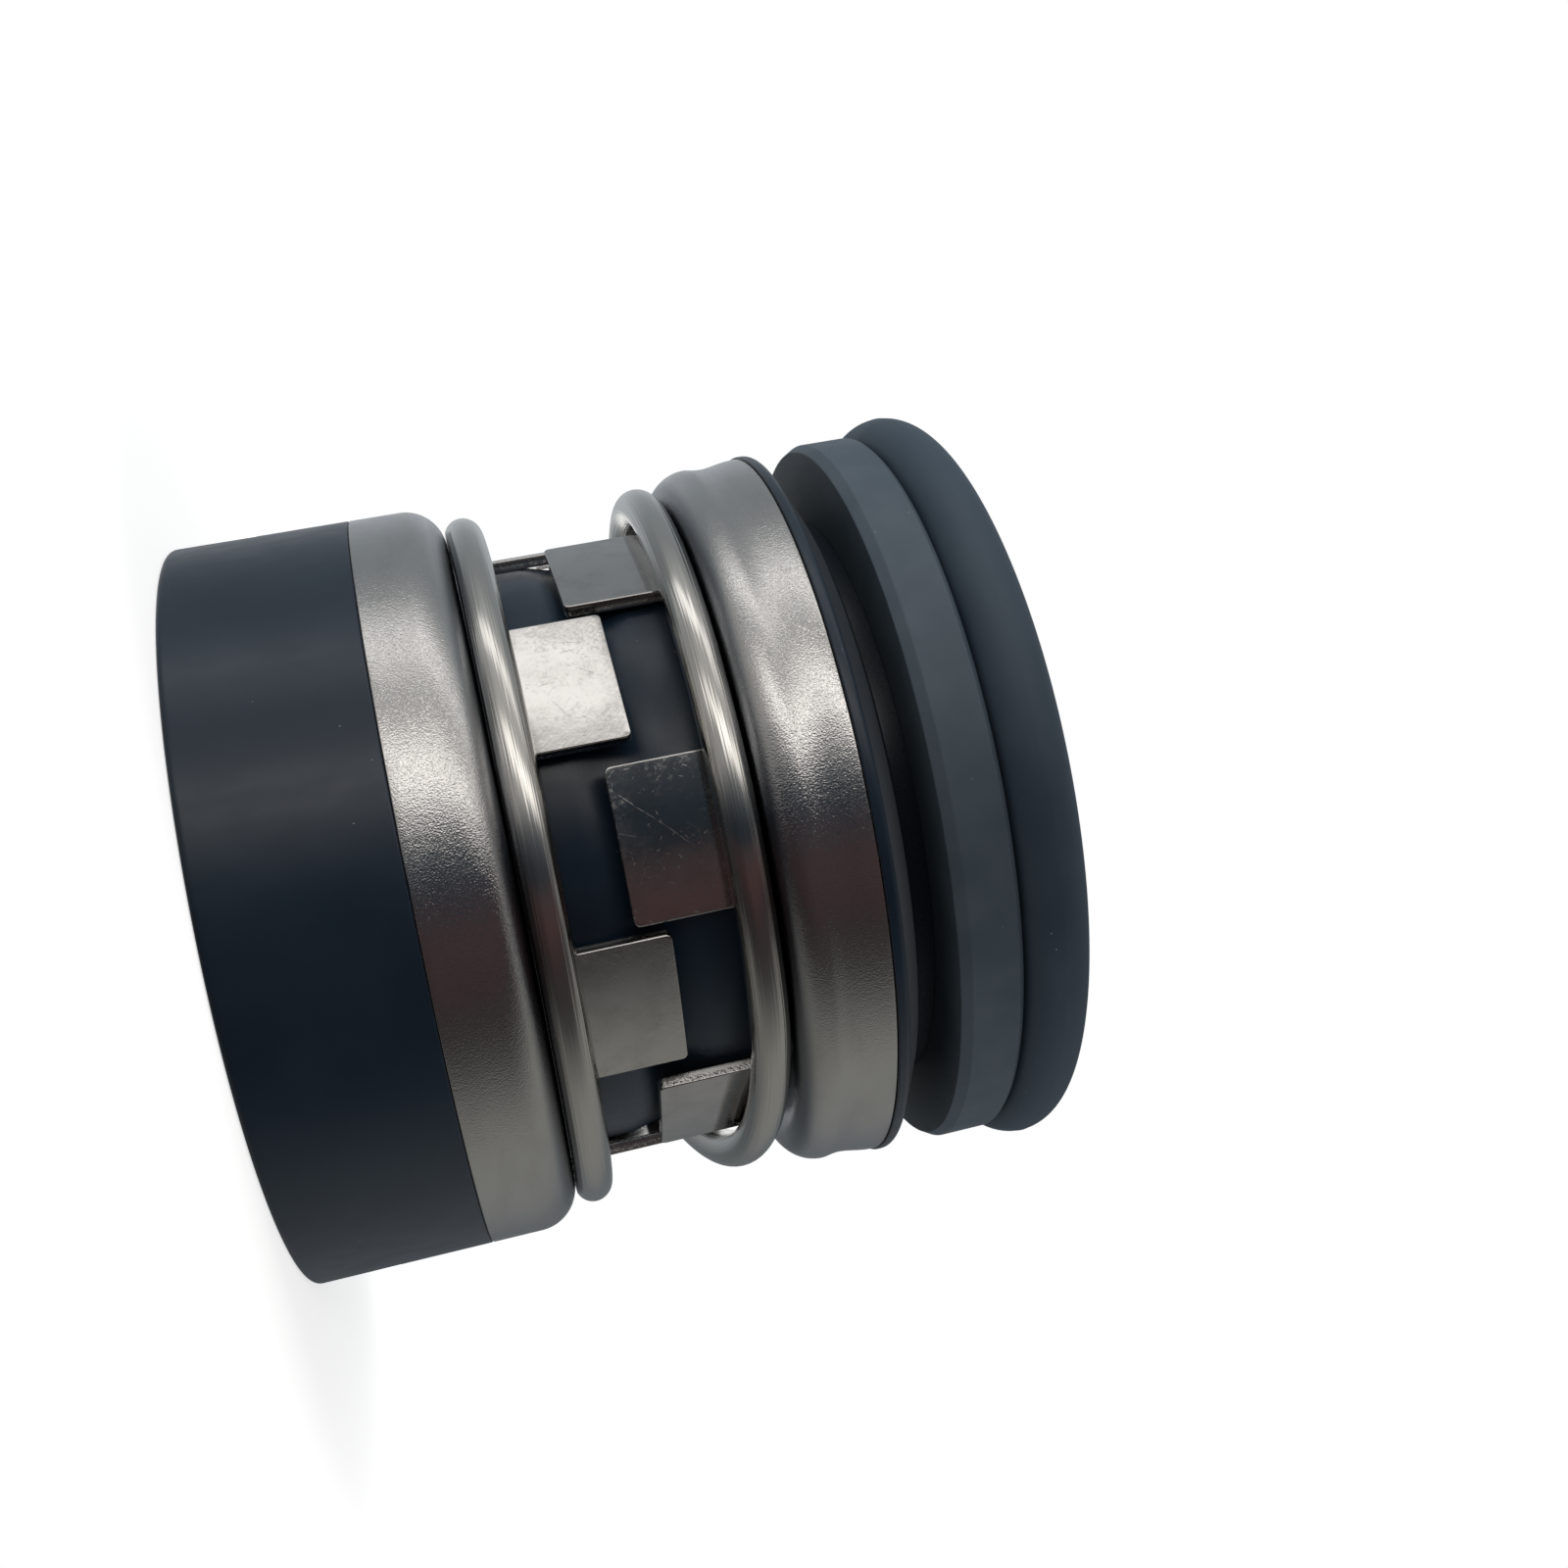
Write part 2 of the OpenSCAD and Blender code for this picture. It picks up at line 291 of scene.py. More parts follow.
def shell_rows(outer_r, shoulder_r, skirt):
    """Rows up a shell's sheet as (outer point, inner point), with its end face at height 0.

    The skirt lies below, given as (radius, height) of its outer side, and the neck above.
    """
    bend_x = TAB_OUT_R + BEND_R
    centre = outer_r - shoulder_r
    rows = [((r, z), (r - SHEET, z)) for r, z in skirt]
    rows += list(zip(
        arc(centre, -shoulder_r, shoulder_r, 0, 90, SHOULDER_STEPS),
        arc(centre, -shoulder_r, shoulder_r - SHEET, 0, 90, SHOULDER_STEPS)))
    middle = (centre + bend_x) / 2
    rows.append(((middle, 0), (middle, -SHEET)))
    rows += list(zip(
        arc(bend_x, BEND_R, BEND_R, 270, 180, BEND_STEPS),
        arc(bend_x, BEND_R, BEND_R + SHEET, 270, 180, BEND_STEPS)))
    for z in (NECK_LEN * NECK_SHARE, NECK_LEN - SHEARED_EDGE_R):
        rows.append(((TAB_OUT_R, z), (TAB_IN_R, z)))
    return rows


def band_skirt():
    """Straight skirt of the drive band, up from its edge."""
    low = -BAND_LEN + SHEARED_EDGE_R
    steps = BAND_SKIRT_STEPS
    return [(HEAD_R, low + (-BAND_SHOULDER_R - low) * i / steps) for i in range(steps)]


def retainer_skirt():
    """Skirt of the retainer, with a shallow valley and a flared edge, up from its edge."""
    low = RETAINER_LEN - SHEARED_EDGE_R
    rows = []
    for i in range(RETAINER_SKIRT_STEPS):
        t = 1 - i / RETAINER_SKIRT_STEPS
        valley = VALLEY_DEPTH * sin(pi * t ** VALLEY_SKEW) ** 2
        r = RETAINER_R - valley + EDGE_FLARE * ease(t)
        rows.append((r, -RETAINER_SHOULDER_R - t * (low - RETAINER_SHOULDER_R)))
    return rows


def tab_columns():
    """Columns across a tab as (y, height of its top, outward direction at its top).

    They cover the tab's flat outline inside its sheared edge.
    """
    flat = TAB_W / 2 - TAB_CORNER_R
    corner = TAB_CORNER_R - SHEARED_EDGE_R
    tip = TAB_LEN - SHEARED_EDGE_R
    turns = [radians(90 * i / TAB_CORNER_STEPS) for i in range(TAB_CORNER_STEPS + 1)]
    right = [
        (flat + corner * sin(a), tip - corner + corner * cos(a), (sin(a), cos(a))) for a in turns]
    left = [(-y, top, (-out[0], out[1])) for y, top, out in reversed(right)]
    inside = range(1, TAB_FACE_STEPS)
    middle = [(flat * (2 * i / TAB_FACE_STEPS - 1), tip, (0, 1)) for i in inside]
    return left + middle + right


def tab_point(tab, y, z, depth):
    """A point of a tab: round like the neck at its root, and nearly flat further out."""
    centre, twist, curve_r = tab
    round_x = sqrt((TAB_OUT_R - depth) ** 2 - y ** 2)
    flat_x = TAB_MID_X - depth - y ** 2 / (2 * curve_r) - y * sin(radians(twist))
    x = round_x + (flat_x - round_x) * ease((z - NECK_LEN) / TAB_FLATTEN_LEN)
    turn = radians(centre)
    return x * cos(turn) - y * sin(turn), x * sin(turn) + y * cos(turn), z


def neck_turn(column, radius):
    """Angle of a column. A column in a slot lies at a share of the way to the next tab's edge."""
    tab, y, share, gap = column
    edge = atan2(y, sqrt(radius ** 2 - y ** 2))
    return radians(tab[0]) + edge + share * (radians(gap) - 2 * edge)


def shell_columns(tabs):
    """All columns round a shell as (tab, y, share of the slot, angle from this tab to the next)."""
    across = [y for y, _, _ in tab_columns()]
    columns = []
    for i, tab in enumerate(tabs):
        gap = (tabs[(i + 1) % TAB_COUNT][0] - tab[0]) % 360
        columns += [(tab, y, 0, gap) for y in across]
        columns += [(tab, across[-1], k / SLOT_STEPS, gap) for k in range(1, SLOT_STEPS)]
    return columns


def edge_sites(tabs):
    """Places along the sheared edge of tabs and slots, as (column, z, outward y, outward z)."""
    top = tab_columns()
    root = NECK_LEN - SHEARED_EDGE_R
    side_top = top[0][1]
    height = side_top - root
    side = [root + height * k / TAB_SIDE_STEPS for k in range(1, TAB_SIDE_STEPS)]
    sites = []
    for column in shell_columns(tabs):
        _, y, share, _ = column
        if share:
            sites.append((column, root, 0, 1))
        elif y == top[0][0]:
            sites.append((column, root, -1, 1))
            sites += [(column, z, -1, 0) for z in side]
            sites.append((column, side_top, -1, 0))
        elif y == top[-1][0]:
            sites.append((column, side_top, 1, 0))
            sites += [(column, z, 1, 0) for z in reversed(side)]
            sites.append((column, root, 1, 1))
        else:
            _, z, out = next(c for c in top if c[0] == y)
            sites.append((column, z, *out))
    return sites


def edge_point(site, reach, depth):
    """A point of the sheared edge, at a reach outward from the site and a depth into the sheet."""
    column, z, out_y, out_z = site
    tab, y, share, _ = column
    if not share:
        return tab_point(tab, y + out_y * reach, z + out_z * reach, depth)
    radius = TAB_OUT_R - depth
    turn = neck_turn(column, radius)
    return radius * cos(turn), radius * sin(turn), z + out_z * reach


def edge_section():
    """Section of a sheared edge, as (reach, depth) from the outer side to the inner side."""
    turns = [radians(a) for a in (30, 60, 90)]
    rounding = [(SHEARED_EDGE_R * sin(a), SHEARED_EDGE_R * (1 - cos(a))) for a in turns]
    middle = [(SHEARED_EDGE_R, SHEET * t) for t in SHEAR_SHARES]
    return rounding + middle + [(reach, SHEET - depth) for reach, depth in reversed(rounding)]


def tabbed_shell(name, rows, first_turn, forms, place_z):
    """A stamped shell with its tabs. place_z turns the shell's own heights into the frame's.

    The kinds of its faces are the places of their materials: 0 satin, 1 tab and 2 torn edge.
    """
    tabs = [
        (first_turn + TAB_PITCH * i + shift, twist, curve_r)
        for i, (shift, twist, curve_r) in enumerate(forms)
    ]
    columns = shell_columns(tabs)
    top = tab_columns()
    count = len(columns)
    verts, faces, kinds, wear = [], [], [], {}

    def add_face(face, kind):
        faces.append(face)
        kinds.append(kind)

    def add_loop(points):
        start = len(verts)
        verts.extend((x, y, place_z(z)) for x, y, z in points)
        return list(range(start, start + len(points)))

    def join(low, high, kind):
        for i in range(len(low)):
            k = (i + 1) % len(low)
            add_face((low[i], low[k], high[k], high[i]), kind)

    def skin(side, depth):
        """One side of the sheet. Returns its skirt edge and its tab edge."""
        radius = TAB_OUT_R - depth
        turns = [neck_turn(column, radius) for column in columns]
        loops = [
            add_loop([(row[side][0] * cos(a), row[side][0] * sin(a), row[side][1]) for a in turns])
            for row in rows
        ]
        for low, high in zip(loops, loops[1:]):
            join(low, high, 0)
        neck = loops[-1]
        root = rows[-1][side][1]
        edge = []
        for i in range(TAB_COUNT):
            first = i * (count // TAB_COUNT)
            below = neck[first:first + len(top)]
            grid = [below]
            for k in range(1, TAB_SIDE_STEPS + 1):
                here = add_loop([
                    tab_point(columns[first][0], y, root + (z - root) * k / TAB_SIDE_STEPS, depth)
                    for y, z, _ in top
                ])
                for j in range(len(top) - 1):
                    add_face((below[j], below[j + 1], here[j + 1], here[j]), 1)
                grid.append(here)
                below = here
            for k, line in enumerate(grid):
                for vertex, (y, _, _) in zip(line, top):
                    wear[vertex] = max(2 * abs(y) / TAB_W, k / TAB_SIDE_STEPS) ** WEAR_POWER
            up = [line[0] for line in grid[:-1]]
            down = [line[-1] for line in reversed(grid[:-1])]
            edge += up + grid[-1] + down + neck[first + len(top):first + count // TAB_COUNT]
        return loops[0], edge

    def skirt_loop(reach, depth):
        r, z = rows[0][0][0] - depth, rows[0][0][1] - reach
        turns = [neck_turn(column, TAB_OUT_R - depth) for column in columns]
        return add_loop([(r * cos(a), r * sin(a), z) for a in turns])

    def tab_loop(reach, depth):
        return add_loop([edge_point(site, reach, depth) for site in sites])

    outer_skirt, outer_edge = skin(0, 0)
    inner_skirt, inner_edge = skin(1, SHEET)
    sites = edge_sites(tabs)
    section = edge_section()
    tab_loops = [outer_edge] + [tab_loop(reach, depth) for reach, depth in section]
    skirt_loops = [outer_skirt] + [skirt_loop(reach, depth) for reach, depth in section]
    for loops, last in ((tab_loops, inner_edge), (skirt_loops, inner_skirt)):
        for i, (low, high) in enumerate(zip(loops, loops[1:] + [last])):
            join(low, high, 2 if i in TORN_STRIPS else 1)
    obj = finish_mesh(name, verts, faces, kinds)
    attribute = obj.data.attributes.new("edge_wear", "FLOAT", "POINT")
    attribute.data.foreach_set("value", [wear.get(i, 1.0) for i in range(len(verts))])
    return obj


def drive_band():
    return tabbed_shell(
        "band_stamping", shell_rows(HEAD_R, BAND_SHOULDER_R, band_skirt()),
        BAND_TURN, BAND_TAB_FORMS, lambda z: BAND_FACE_Z + z)


def retainer():
    return tabbed_shell(
        "retainer_stamping", shell_rows(RETAINER_R, RETAINER_SHOULDER_R, retainer_skirt()),
        RETAINER_TURN, RETAINER_TAB_FORMS, lambda z: RETAINER_FACE_Z - z)


# Spring

WIRE_ANGLE = 2 * END_TURN_ANGLE + CROSS_ANGLE
COIL_TRAVEL = SPRING_TOP_Z - SPRING_LOW_Z - 2 * (WIRE_R - GRIND_DEPTH)


def crossed(a):
    """How far the wire has gone down from the upper end turn, at an angle along it."""
    return COIL_TRAVEL * ease((a - END_TURN_ANGLE) / CROSS_ANGLE)


def wire_centre(a):
    z = SPRING_TOP_Z - WIRE_R + GRIND_DEPTH - crossed(a)
    turn = radians(CROSS_START - END_TURN_ANGLE + a)
    return Vector((COIL_R * cos(turn), COIL_R * sin(turn), z))


def ground_cap(room, sign):
    """Points across the top or foot of the wire's section, where a flat may be ground."""
    half = max(radians(LEAST_CAP_ANGLE), acos(max(-1.0, min(1.0, room / WIRE_R))))
    points = []
    for i in range(WIRE_CAP_STEPS + 1):
        x = WIRE_R * sin(half) * (1 - 2 * i / WIRE_CAP_STEPS)
        z = min(sqrt(max(0.0, WIRE_R ** 2 - x ** 2)), room)
        points.append((x, sign * z))
    return points, half


def wire_section(centre_z):
    """Section of the wire as (outward, up) points, flat where the spring's ends are ground."""
    top, top_half = ground_cap(SPRING_TOP_Z - centre_z, 1)
    low, low_half = ground_cap(centre_z - SPRING_LOW_Z, -1)
    start, end = pi / 2 + top_half, 1.5 * pi - low_half
    inner = [start + (end - start) * i / WIRE_SIDE_STEPS for i in range(1, WIRE_SIDE_STEPS)]
    inner_side = [(WIRE_R * cos(a), WIRE_R * sin(a)) for a in inner]
    outer_side = [(-x, z) for x, z in reversed(inner_side)]
    return top + inner_side + list(reversed(low)) + outer_side


def spring():
    """The spring's wire, with the place along it in an attribute. Its two cut ends are flat."""
    steps = round(WIRE_ANGLE / WIRE_STEP)
    verts, unrolled = [], []
    for i in range(steps + 1):
        a = WIRE_ANGLE * i / steps
        centre = wire_centre(a)
        outward = Vector((centre.x, centre.y, 0)).normalized()
        for x, z in wire_section(centre.z):
            verts.append(tuple(centre + outward * x + Vector((0, 0, z))))
            unrolled.append((x, z, radians(a) * COIL_R))
    count = len(verts) // (steps + 1)

    def at(i, j):
        return i * count + j % count

    faces = [
        (at(i, j), at(i, j + 1), at(i + 1, j + 1), at(i + 1, j))
        for i in range(steps) for j in range(count)
    ]
    faces += [tuple(range(count)), tuple(reversed(range(steps * count, (steps + 1) * count)))]
    obj = finish_mesh("ground_spring", verts, faces)
    obj.data.polygons.foreach_set("use_smooth", [i < len(faces) - 2 for i in range(len(faces))])
    attribute = obj.data.attributes.new("unrolled", "FLOAT_VECTOR", "POINT")
    attribute.data.foreach_set("vector", [value for point in unrolled for value in point])
    return obj


# Turned and moulded rings

def fold_dip(z):
    """How far the thin wall dips toward the shaft."""
    t = (z - FOLD_MIDDLE_Z) / FOLD_LEN
    return FOLD_DEPTH * (1 + cos(2 * pi * t)) / 2 if abs(t) < 0.5 else 0


def fold(r):
    """Points up the folded stretch of the thin wall."""
    heights = [FOLD_MIDDLE_Z + FOLD_LEN * (i / FOLD_STEPS - 0.5) for i in range(FOLD_STEPS + 1)]
    return [(r - fold_dip(z), z, 0) for z in heights]


def under_shell(outer_r, shoulder_r):
    """Hidden outline of the rubber under a shell's shoulder, with its end face at height 0."""
    depth = SHEET + NEST_GAP
    bend_x = TAB_OUT_R + BEND_R
    centre = outer_r - shoulder_r
    points = arc(centre, -shoulder_r, shoulder_r - depth, 0, 90, HIDDEN_SHOULDER_STEPS)
    return points + arc(bend_x, BEND_R, BEND_R + depth, 270, 180, BEND_STEPS)


def bellows():
    """Rubber from the tail, up under both shells to the lip, and down its bore to the tail."""
    depth = SHEET + NEST_GAP
    tail_top = BAND_EDGE_Z - NEST_GAP
    lip_foot = RETAINER_EDGE_Z + NEST_GAP
    cup_floor = RETAINER_FACE_Z + CUP_FLOOR
    under_band = under_shell(HEAD_R, BAND_SHOULDER_R)
    under_retainer = under_shell(RETAINER_R, RETAINER_SHOULDER_R)
    corners = [
        (SHAFT_R + TAIL_EDGE_R, 0, SOFT_R), (HEAD_R, 0, TAIL_EDGE_R),
        (HEAD_R, tail_top, EASED_R), (HEAD_R - depth, tail_top, 0)]
    corners += [(r, BAND_FACE_Z + z, 0) for r, z in under_band]
    corners += [(WALL_OUT_R, BAND_FACE_Z + NECK_LEN, 0)] + fold(WALL_OUT_R)
    corners += [(WALL_OUT_R, RETAINER_FACE_Z - NECK_LEN, 0)]
    corners += [(r, RETAINER_FACE_Z - z, 0) for r, z in reversed(under_retainer)]
    corners += [(r - depth, RETAINER_FACE_Z - z, 0) for r, z in reversed(retainer_skirt())]
    corners += [
        (RETAINER_R + EDGE_FLARE - depth, lip_foot, 0), (HEAD_R, lip_foot, EASED_R),
        (HEAD_R, lip_foot + LIP_RIM_LEN, LIP_ROUND_R), (LIP_LAND_R, LIP_TOP_Z, THIN_R),
        (POCKET_R, LIP_TOP_Z, CRISP_R), (POCKET_R, cup_floor, FILLET_R),
        (WALL_IN_R, cup_floor, FILLET_R)]
    corners += list(reversed(fold(WALL_IN_R)))
    corners += [
        (WALL_IN_R, GRIP_LEN + WALL_IN_R - SHAFT_R, FILLET_R), (SHAFT_R, GRIP_LEN, SOFT_R),
        (SHAFT_R, TAIL_EDGE_R, SOFT_R)]
    return revolved("rubber_bellows", rounded(corners))


def primary_ring():
    step = FACE_Z - NOSE_LEN
    body = RING_BODY_R - RING_CHAMFER
    return revolved("carbon_ring", rounded([
        (RING_BORE_R + BORE_CHAMFER, RING_BACK_Z, SHARP_R), (body, RING_BACK_Z, SHARP_R),
        (RING_BODY_R, RING_BACK_Z + RING_CHAMFER, CRISP_R),
        (RING_BODY_R, step - RING_CHAMFER, CRISP_R), (body, step, CRISP_R),
        (NOSE_R, step, NOSE_ROOT_R), (NOSE_R, FACE_Z, SHARP_R),
        (RING_BORE_R, FACE_Z, SHARP_R), (RING_BORE_R, RING_BACK_Z + BORE_CHAMFER, SHARP_R)]))


def seat_ring():
    rim_end = FACE_Z + SEAT_RIM_LEN
    return revolved("seat_turning", rounded([
        (SEAT_BORE_R, FACE_Z, SHARP_R), (SEAT_RIM_R - SEAT_CHAMFER_IN, FACE_Z, EASED_R),
        (SEAT_RIM_R, FACE_Z + SEAT_CHAMFER_LEN, SEAT_CORNER_R),
        (SEAT_RIM_R, rim_end - SEAT_BACK_CHAMFER, EASED_R),
        (SEAT_RIM_R - SEAT_BACK_CHAMFER, rim_end, EASED_R), (SEAT_NECK_R, rim_end, SOFT_R),
        (SEAT_NECK_R, SEAT_BACK_Z - NECK_LEAD_IN, SOFT_R),
        (SEAT_NECK_R - NECK_LEAD_IN / 2, SEAT_BACK_Z, THIN_R),
        (SEAT_BORE_R + BORE_CHAMFER, SEAT_BACK_Z, SHARP_R),
        (SEAT_BORE_R, SEAT_BACK_Z - BORE_CHAMFER, SHARP_R)]))


def seat_o_ring():
    """The O-ring, with a faint moulding line round its outside and inside."""
    outline = []
    for i in range(O_RING_STEPS):
        a = 2 * pi * i / O_RING_STEPS
        r = O_RING_R + O_RING_FLASH * max(0.0, 1 - abs(sin(a)) / O_RING_FLASH_SINE)
        outline.append((O_RING_CENTRE_R + r * cos(a), O_RING_Z + r * sin(a)))
    return revolved("moulded_o_ring", outline)


# Materials

STEEL = (0.60, 0.59, 0.58, 1)
STEEL_DULL = (0.54, 0.53, 0.52, 1)
STEEL_FRESH = (0.58, 0.565, 0.55, 1)
STEEL_STAINED = (0.50, 0.485, 0.47, 1)
WIRE_STEEL = (0.63, 0.615, 0.585, 1)
# Painted dark reflection on the torn strips of sheared edges, away from one side
TORN_PAINTED_DARK = (0.20, 0.19, 0.185, 1)
# Painted shade on the shells' shoulders next to the coil
CREVICE_SHADE = (0.19, 0.20, 0.22, 1)
RUBBER = (0.006, 0.016, 0.031, 1)
RUBBER_GREY = (0.008, 0.020, 0.036, 1)
CARBON = (0.010, 0.016, 0.024, 1)
CARBIDE = (0.060, 0.084, 0.107, 1)
CARBIDE_LIGHT = (0.076, 0.101, 0.126, 1)
O_RING = (0.034, 0.055, 0.080, 1)
O_RING_GREY = (0.044, 0.067, 0.092, 1)
DUST = (0.35, 0.36, 0.37, 1)

# How far from a shell's end face the painted shade starts and is full
CREVICE_FROM = 1.35
CREVICE_FULL = 0.45
# The side where the torn strip is coarse and not painted dark, as x of where this starts and is full
COARSE_BRIGHT_FROM = 8.0
COARSE_BRIGHT_FULL = 16.0
# One long scratch across the retainer's tab that faces the camera
SCRATCH_OFFSET = 30.7
SCRATCH_WAVER = 0.3
SCRATCH_FOOT = 26.5
SCRATCH_FOOT_FADE = 0.3
SCRATCH_TOP = 32.2
SCRATCH_TOP_FADE = 1.5
SCRATCHED_Y = -22.9


class Tree:
    """Adds nodes to a node tree."""

    def __init__(self, tree):
        self.tree = tree

    def add(self, kind, **settings):
        node = self.tree.nodes.new(kind)
        for key, value in settings.items():
            setattr(node, key, value)
        return node

    def put(self, socket, value):
        if isinstance(value, bpy.types.NodeSocket):
            self.tree.links.new(value, socket)
        else:
            socket.default_value = value

    def math(self, operation, *values):
        node = self.add("ShaderNodeMath", operation=operation)
        for socket, value in zip(node.inputs, values):
            self.put(socket, value)
        return node.outputs[0]

    def times(self, a, b):
        return self.math("MULTIPLY", a, b)

    def vector(self, operation, *values):
        node = self.add("ShaderNodeVectorMath", operation=operation)
        for socket, value in zip(node.inputs, values):
            self.put(socket, value)
        return node.outputs["Vector"]

    def scaled(self, colour, level):
        node = self.add("ShaderNodeVectorMath", operation="SCALE")
        self.put(node.inputs[0], colour)
        self.put(node.inputs["Scale"], level)
        return node.outputs["Vector"]

    def split(self, vector):
        """The x, y and z of a vector."""
        node = self.add("ShaderNodeSeparateXYZ")
        self.put(node.inputs[0], vector)
        return node.outputs

    def spread(self, value, low, high, to_low=0.0, to_high=1.0):
        """A value clamped from one range into another, with a smooth step."""
        node = self.add("ShaderNodeMapRange", interpolation_type="SMOOTHSTEP")
        for socket, number in zip(node.inputs[:5], (value, low, high, to_low, to_high)):
            self.put(socket, number)
        return node.outputs[0]

    def mix(self, share, a, b):
        """A colour between a and b."""
        node = self.add("ShaderNodeMix", data_type="RGBA")
        self.put(node.inputs["Factor"], share)
        self.put(node.inputs[6], a)
        self.put(node.inputs[7], b)
        return node.outputs[2]


class Nodes(Tree):
    """Builds one node material around a Principled shader, with places in millimetres."""

    def __init__(self, name):
        self.material = bpy.data.materials.new(name)
        self.material.use_nodes = True
        super().__init__(self.material.node_tree)
        self.shader = self.tree.nodes["Principled BSDF"]
        metres = self.add("ShaderNodeTexCoord").outputs["Object"]
        self.place = self.vector("MULTIPLY", metres, (1 / MM, 1 / MM, 1 / MM))

    def noise(self, scale, detail=2.0, stretch=(1, 1, 1), place=None, turn=None):
        """Noise with features of about 1/scale millimetres, drawn out where stretch is small."""
        place = place or self.place
        if turn:
            rotate = self.add("ShaderNodeMapping")
            rotate.inputs["Rotation"].default_value = [radians(a) for a in turn]
            self.put(rotate.inputs["Vector"], place)
            place = rotate.outputs["Vector"]
        node = self.add("ShaderNodeTexNoise")
        self.put(node.inputs["Vector"], self.vector("MULTIPLY", place, stretch))
        node.inputs["Scale"].default_value = scale
        node.inputs["Detail"].default_value = detail
        return node.outputs["Fac"]

    def cells(self, scale):
        """Outputs of a grid with scale cells a millimetre, and the random numbers of its cells."""
        node = self.add("ShaderNodeTexVoronoi")
        self.put(node.inputs["Vector"], self.place)
        node.inputs["Scale"].default_value = scale
        pick = self.add("ShaderNodeSeparateColor")
        self.put(pick.inputs[0], node.outputs["Color"])
        return node.outputs, pick.outputs

    def scratches(self, scale, width, reach, share):
        """Straight hair lines at random slants, one in each of a share of the cells of a grid."""
        cells, pick = self.cells(scale)
        slant = self.vector("SUBTRACT", cells["Color"], (0.5, 0.5, 0.5))
        across = self.add("ShaderNodeVectorMath", operation="DOT_PRODUCT")
        self.put(across.inputs[0], self.vector("NORMALIZE", slant))
        self.put(across.inputs[1], self.vector("SUBTRACT", self.place, cells["Position"]))
        line = self.spread(self.math("ABSOLUTE", across.outputs["Value"]), width, width * 0.3)
        ends = self.spread(cells["Distance"], reach, reach * 0.6)
        kept = self.math("LESS_THAN", self.math("FRACT", self.times(pick[1], 7.0)), share)
        return self.times(line, self.times(ends, kept))

    def specks(self, scale, size, share):
        """Small dots: 1 inside a dot, for a share of the cells of a grid."""
        cells, pick = self.cells(scale)
        near = self.spread(cells["Distance"], size, size * 0.6)
        return self.times(near, self.math("LESS_THAN", pick[0], share))

    def bump(self, height, depth, after=None):
        """Relief of a height field, with its depth in millimetres."""
        node = self.add("ShaderNodeBump")
        node.inputs["Distance"].default_value = depth * MM
        self.put(node.inputs["Height"], height)
        if after:
            self.put(node.inputs["Normal"], after)
        return node.outputs["Normal"]

    def finish(self, colour, roughness, normal, **constants):
        self.put(self.shader.inputs["Base Color"], colour)
        self.put(self.shader.inputs["Roughness"], roughness)
        self.put(self.shader.inputs["Normal"], normal)
        for name, value in constants.items():
            self.shader.inputs[name.replace("_", " ")].default_value = value
        return self.material


def crevice_shade(m):
    """1 on a shell's shoulder close to the coil, where it is painted darker as shade."""
    _, _, z = m.split(m.place)
    on_band = m.spread(z, BAND_FACE_Z - CREVICE_FROM, BAND_FACE_Z - CREVICE_FULL)
    on_retainer = m.spread(z, RETAINER_FACE_Z + CREVICE_FROM, RETAINER_FACE_Z + CREVICE_FULL)
    return m.times(on_band, on_retainer)


def satin_steel():
    """Drawn sheet: a fine grain from the stretching, faint lines round the shell and painted shade by
    the coil.
    """
    m = Nodes("satin_steel")
    peel = m.noise(scale=2.4, detail=1.0)
    grain = m.noise(scale=9.0, detail=1.0)
    lines = m.noise(scale=3.0, detail=3.0, stretch=(0.06, 0.06, 1))
    smear = m.noise(scale=0.5, detail=3.0, stretch=(0.3, 0.3, 1))
    normal = m.bump(peel, depth=0.006)
    normal = m.bump(grain, depth=0.024, after=normal)
    normal = m.bump(lines, depth=0.006, after=normal)
    rough = m.spread(smear, 0.3, 0.7, 0.13, 0.19)
    colour = m.mix(m.spread(smear, 0.4, 0.8), STEEL, STEEL_DULL)
    # The shoulder next to the coil is painted darker as shade
    return m.finish(m.mix(crevice_shade(m), colour, CREVICE_SHADE), rough, normal, Metallic=1.0)


def long_scratch(m):
    """1 along a thin slanting line."""
    x, y, z = m.split(m.place)
    waver = m.times(m.noise(scale=0.5), SCRATCH_WAVER)
    off_line = m.math("ADD", waver, SCRATCH_OFFSET - SCRATCH_WAVER / 2)
    across = m.math("ABSOLUTE", m.math("ADD", m.math("SUBTRACT", x, z), off_line))
    broken = m.spread(m.noise(scale=3.0), 0.3, 0.6, 0.3, 1.0)
    line = m.times(m.spread(across, 0.05, 0.015), broken)
    above = m.spread(z, SCRATCH_FOOT, SCRATCH_FOOT + SCRATCH_FOOT_FADE)
    below = m.spread(z, SCRATCH_TOP, SCRATCH_TOP - SCRATCH_TOP_FADE)
    facing = m.math("LESS_THAN", y, SCRATCHED_Y)
    return m.times(line, m.times(m.times(above, below), facing))


def scratched_side(m):
    """How densely a place is scratched: most on the camera's side of the head."""
    _, y, _ = m.split(m.place)
    patches = m.spread(m.noise(scale=0.35, detail=1.0), 0.4, 0.6, 0.3, 1.0)
    return m.times(patches, m.spread(y, SCRATCHED_Y + 2, SCRATCHED_Y + 1, 0.25, 1.0))


